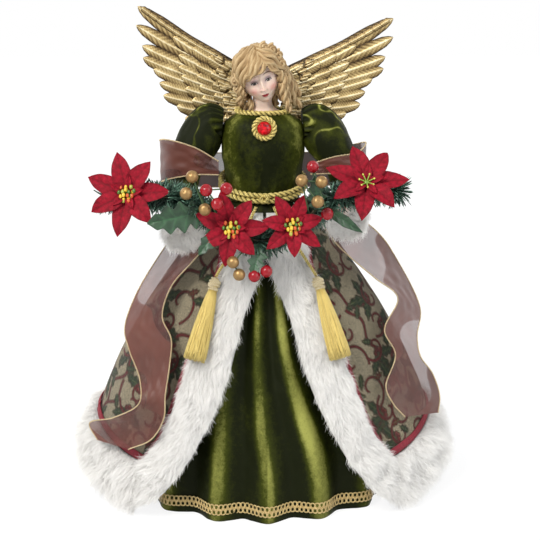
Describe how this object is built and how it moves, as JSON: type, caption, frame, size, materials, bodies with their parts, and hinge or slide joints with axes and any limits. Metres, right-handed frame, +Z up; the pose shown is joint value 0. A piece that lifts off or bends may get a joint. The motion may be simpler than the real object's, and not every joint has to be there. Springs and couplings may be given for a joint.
{
  "type": "angel tree topper",
  "caption": "Doll angel in a velvet gown and fur-trimmed coat over an open cone, with moulded wings, holding a pine and flower garland.",
  "frame": {"origin": "middle of the foot, on the surface that the topper stands on", "axes": "+Z up through the head, front towards -Y, +X to the right as seen from the front"},
  "size_m": [0.3234, 0.2388, 0.4094],
  "materials": {
    "board": "plain brown board, rolled into a cone",
    "wood": "turned softwood, unfinished",
    "velvet": "olive green crushed velvet with a bright sheen",
    "tapestry": "woven beige tapestry with green sprigs and dark red scrolls",
    "burgundy": "dark red edging cloth",
    "fur": "white plush fur",
    "gold_cord": "twisted metallic gold cord",
    "gold_paint": "antique gold over moulded feathers",
    "steel": "bare steel",
    "bisque": "painted bisque, matt",
    "blond": "painted moulded hair",
    "ribbon": "sheer dark red ribbon with wired gold edges",
    "pine": "dark green foil needles",
    "leaf_green": "green satin leaf",
    "petal_red": "red velvet petals",
    "gold_bead": "gold berries and beads",
    "red_bead": "glossy red berries",
    "gem_red": "clear red faceted stone"
  },
  "bodies": {
    "doll": {"base_cone": "board", "left_wing_screw": "steel", "right_wing_screw": "steel", "left_wing": "gold_paint", "right_wing": "gold_paint", "wing_bracket": "steel", "arm_wire": "steel", "torso_core": "wood", "gown_bodice": "velvet", "gown_skirt": "velvet", "hem_braid": "gold_cord", "coat": "tapestry", "left_front_fur": "fur", "right_front_fur": "fur", "hem_fur": "fur", "coat_edging": "burgundy", "left_sleeve": "velvet", "left_cuff": "fur", "left_hand": "bisque", "right_sleeve": "velvet", "right_cuff": "fur", "right_hand": "bisque", "head": "bisque", "hair": "blond", "belt_cord": "gold_cord", "collar_cord": "gold_cord", "brooch_gem": "gem_red", "brooch_cord": "gold_cord", "left_tassel_cord": "gold_cord", "right_tassel_cord": "gold_cord", "far_left_poinsettia": "petal_red", "left_poinsettia": "petal_red", "right_poinsettia": "petal_red", "far_right_poinsettia": "petal_red", "far_left_stamens": "gold_bead", "left_stamens": "gold_bead", "right_stamens": "gold_bead", "far_right_stamens": "gold_bead", "gold_berries_left": "gold_bead", "red_berries_left": "red_bead", "gold_berries_middle": "gold_bead", "red_berries_middle": "red_bead", "gold_berries_right": "gold_bead", "red_berries_right": "red_bead", "holly_leaf_left": "leaf_green", "holly_leaf_low": "leaf_green", "holly_leaf_middle": "leaf_green", "holly_leaf_right": "leaf_green", "slender_leaf": "leaf_green", "stole": "ribbon", "left_tail": "ribbon", "right_tail": "ribbon", "garland": "pine"},
    "left_tassel": {"left_tassel_head": "gold_cord", "left_tassel_skirt": "gold_cord"},
    "right_tassel": {"right_tassel_head": "gold_cord", "right_tassel_skirt": "gold_cord"}
  },
  "joints": [
    {"name": "left_tassel_swing", "type": "hinge", "parent": "doll", "child": "left_tassel", "pos_m": [-0.04054, -0.07483, 0.19765], "axis": [-0.8965, 0.4372, 0.0721], "range_deg": [0, 50]},
    {"name": "right_tassel_swing", "type": "hinge", "parent": "doll", "child": "right_tassel", "pos_m": [0.04054, -0.07483, 0.19765], "axis": [-0.8965, -0.4372, -0.0721], "range_deg": [0, 50]}
  ]
}
